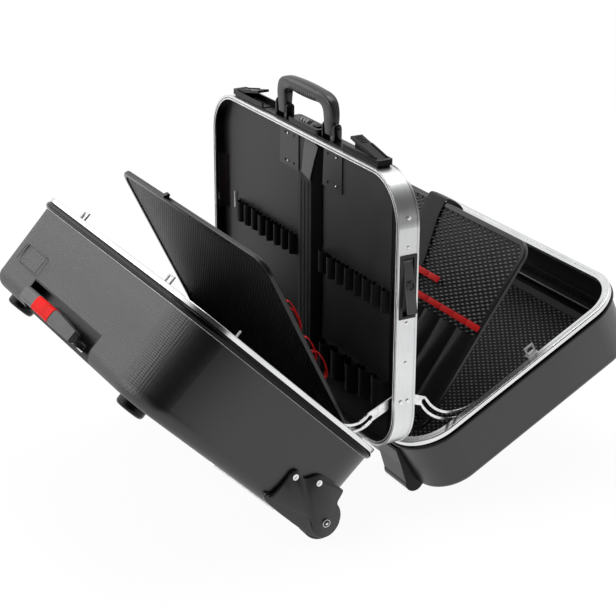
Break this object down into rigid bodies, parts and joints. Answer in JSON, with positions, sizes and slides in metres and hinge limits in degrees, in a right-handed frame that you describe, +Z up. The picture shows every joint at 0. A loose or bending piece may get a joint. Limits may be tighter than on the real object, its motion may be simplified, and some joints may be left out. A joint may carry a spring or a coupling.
{
  "type": "hard tool case",
  "caption": "Hard two-shell tool case standing open in a V: metal centre frame with handle, lock and latches, hinged shells, tool boards and wheels.",
  "frame": {"origin": "on the floor, under the middle of the centre frame", "axes": "+X towards the shallower shell, +Y along the hinges away from the camera's side, +Z up"},
  "size_m": [0.7754, 0.5394, 0.5352],
  "materials": {
    "band": "satin anodised extrusion with a fine grain along its length",
    "rim": "satin extrusion",
    "black_moulding": "fine leather-grain moulding",
    "black_part": "plain satin black",
    "panel_grey": "fine grain",
    "lever_grey": "satin grey",
    "bright_metal": "bright zinc plate",
    "tube_metal": "satin anodised",
    "grip_grey": "soft-touch grey",
    "red_part": "semi-gloss",
    "red_elastic": "woven elastic",
    "black_elastic": "woven elastic",
    "grey_webbing": "woven webbing",
    "board_skin": "grained imitation leather over board",
    "wheel_rubber": "matt",
    "dial_grey": "satin"
  },
  "bodies": {
    "frame": {"frame_band": "band", "frame_liner": "black_part", "frame_rivets": "bright_metal", "centre_panel": "panel_grey", "backing_plates": "black_part", "top_plate": "black_part", "lock_body": "black_part", "latch_bases": "black_part", "side_latch_housings": "black_part", "frame_hinges": "bright_metal", "panel_strap": "grey_webbing", "tool_loops": "black_elastic", "pocket_loops": "black_elastic"},
    "carry_handle": {"carry_handle": "black_part"},
    "lock_dial_1": {"lock_dial_1": "dial_grey"},
    "lock_dial_2": {"lock_dial_2": "dial_grey"},
    "lock_dial_3": {"lock_dial_3": "dial_grey"},
    "lock_slider": {"lock_slider": "black_part"},
    "top_latch_near": {"top_latch_near": "black_part"},
    "top_latch_far": {"top_latch_far": "black_part"},
    "side_latch_near": {"side_latch_near": "lever_grey"},
    "side_latch_far": {"side_latch_far": "lever_grey"},
    "key_cylinder_near": {"key_cylinder_near": "bright_metal"},
    "key_cylinder_far": {"key_cylinder_far": "bright_metal"},
    "stay_left_near": {"stay_left_near": "bright_metal"},
    "stay_left_far": {"stay_left_far": "bright_metal"},
    "stay_right_near": {"stay_right_near": "bright_metal"},
    "stay_right_far": {"stay_right_far": "bright_metal"},
    "left_half": {"left_shell": "black_moulding", "left_rim": "rim", "left_fittings": "bright_metal", "left_hinge_leaf": "bright_metal", "grip_housing": "black_part", "guide_tubes": "tube_metal", "wheel_brackets": "black_part", "bracket_fasteners": "bright_metal", "left_feet": "black_part", "glide_rails": "rim"},
    "left_tool_board": {"left_board": "board_skin", "left_edging": "black_part", "board_knob": "black_part", "red_loops": "red_elastic"},
    "wheel_near": {"wheel_near": "wheel_rubber"},
    "wheel_far": {"wheel_far": "wheel_rubber"},
    "middle_tubes": {"middle_tubes": "tube_metal"},
    "trolley": {"inner_tubes": "tube_metal", "trolley_grip": "grip_grey"},
    "trolley_button": {"trolley_button": "red_part"},
    "right_half": {"right_shell": "black_moulding", "right_rim": "rim", "right_fittings": "bright_metal", "right_hinge_leaf": "bright_metal", "right_feet": "black_part", "right_tray": "black_part", "floor_board": "black_part"},
    "right_tool_board": {"right_board": "board_skin", "right_edging": "black_part", "board_strap": "grey_webbing", "red_bands": "red_elastic", "board_pockets": "black_elastic"}
  },
  "joints": [
    {"name": "left_shell_hinge", "type": "hinge", "parent": "frame", "child": "left_half", "pos_m": [-0.017, 0, 0.09058], "axis": [0, 1, 0], "range_deg": [0, 45]},
    {"name": "right_shell_hinge", "type": "hinge", "parent": "frame", "child": "right_half", "pos_m": [0.017, 0, 0.09058], "axis": [0, -1, 0], "range_deg": [0, 62.5]},
    {"name": "left_board_tilt", "type": "hinge", "parent": "left_half", "child": "left_tool_board", "pos_m": [-0.04882, 0, 0.10967], "axis": [0, -1, 0], "range_deg": [0, 19.6]},
    {"name": "right_board_tilt", "type": "hinge", "parent": "right_half", "child": "right_tool_board", "pos_m": [0.04777, 0, 0.09645], "axis": [0, 1, 0], "range_deg": [0, 27.6]},
    {"name": "wheel_near_spin", "type": "hinge", "parent": "left_half", "child": "wheel_near", "pos_m": [-0.11352, -0.2345, 0.028], "axis": [0, 1, 0], "continuous": true},
    {"name": "wheel_far_spin", "type": "hinge", "parent": "left_half", "child": "wheel_far", "pos_m": [-0.11352, 0.2345, 0.028], "axis": [0, 1, 0], "continuous": true},
    {"name": "middle_tubes_slide", "type": "slide", "parent": "left_half", "child": "middle_tubes", "axis": [-0.7071, 0, 0.7071], "range_m": [0, 0.24]},
    {"name": "trolley_slide", "type": "slide", "parent": "middle_tubes", "child": "trolley", "axis": [-0.7071, 0, 0.7071], "range_m": [0, 0.24]},
    {"name": "trolley_button_press", "type": "slide", "parent": "trolley", "child": "trolley_button", "axis": [0.7071, 0, -0.7071], "range_m": [0, 0.0025], "stiffness_N_per_m": 400, "springref_m": -0.002},
    {"name": "handle_fold", "type": "hinge", "parent": "frame", "child": "carry_handle", "pos_m": [0, 0, 0.48658], "axis": [0, 1, 0], "range_deg": [-85, 85]},
    {"name": "lock_dial_1_spin", "type": "hinge", "parent": "frame", "child": "lock_dial_1", "pos_m": [0, -0.003, 0.47798], "axis": [0, 1, 0], "continuous": true},
    {"name": "lock_dial_2_spin", "type": "hinge", "parent": "frame", "child": "lock_dial_2", "pos_m": [0, 0.004, 0.47798], "axis": [0, 1, 0], "continuous": true},
    {"name": "lock_dial_3_spin", "type": "hinge", "parent": "frame", "child": "lock_dial_3", "pos_m": [0, 0.011, 0.47798], "axis": [0, 1, 0], "continuous": true},
    {"name": "lock_slider_push", "type": "slide", "parent": "frame", "child": "lock_slider", "axis": [0, -1, 0], "range_m": [0, 0.006], "stiffness_N_per_m": 150, "springref_m": -0.003},
    {"name": "top_latch_near_lift", "type": "hinge", "parent": "frame", "child": "top_latch_near", "pos_m": [0, -0.19, 0.47678], "axis": [1, 0, 0], "range_deg": [-12, 60]},
    {"name": "side_latch_near_lift", "type": "hinge", "parent": "frame", "child": "side_latch_near", "pos_m": [0, -0.2526, 0.36518], "axis": [-1, 0, 0], "range_deg": [-13, 50]},
    {"name": "key_near_turn", "type": "hinge", "parent": "side_latch_near", "child": "key_cylinder_near", "pos_m": [0, -0.25957, 0.33497], "axis": [0, -0.9744, 0.225], "range_deg": [0, 90]},
    {"name": "stay_left_near_swing", "type": "hinge", "parent": "frame", "child": "stay_left_near", "pos_m": [-0.005, -0.2425, 0.17358], "axis": [0, 1, 0], "range_deg": [0, 82.5]},
    {"name": "stay_right_near_swing", "type": "hinge", "parent": "frame", "child": "stay_right_near", "pos_m": [0.005, -0.2395, 0.17358], "axis": [0, -1, 0], "range_deg": [0, 75.1]},
    {"name": "top_latch_far_lift", "type": "hinge", "parent": "frame", "child": "top_latch_far", "pos_m": [0, 0.19, 0.47678], "axis": [-1, 0, 0], "range_deg": [-12, 60]},
    {"name": "side_latch_far_lift", "type": "hinge", "parent": "frame", "child": "side_latch_far", "pos_m": [0, 0.2526, 0.36518], "axis": [1, 0, 0], "range_deg": [-13, 50]},
    {"name": "key_far_turn", "type": "hinge", "parent": "side_latch_far", "child": "key_cylinder_far", "pos_m": [0, 0.25957, 0.33497], "axis": [0, 0.9744, 0.225], "range_deg": [0, 90]},
    {"name": "stay_left_far_swing", "type": "hinge", "parent": "frame", "child": "stay_left_far", "pos_m": [-0.005, 0.2425, 0.17358], "axis": [0, 1, 0], "range_deg": [0, 82.5]},
    {"name": "stay_right_far_swing", "type": "hinge", "parent": "frame", "child": "stay_right_far", "pos_m": [0.005, 0.2395, 0.17358], "axis": [0, -1, 0], "range_deg": [0, 75.1]}
  ],
  "couplings": [
    {"joint": "left_board_tilt", "follows": "left_shell_hinge", "ratio": 0.43333},
    {"joint": "right_board_tilt", "follows": "right_shell_hinge", "ratio": 0.44},
    {"joint": "stay_left_near_swing", "follows": "left_shell_hinge", "ratio": 1.83},
    {"joint": "stay_right_near_swing", "follows": "right_shell_hinge", "ratio": 1.2},
    {"joint": "stay_left_far_swing", "follows": "left_shell_hinge", "ratio": 1.83},
    {"joint": "stay_right_far_swing", "follows": "right_shell_hinge", "ratio": 1.2}
  ]
}
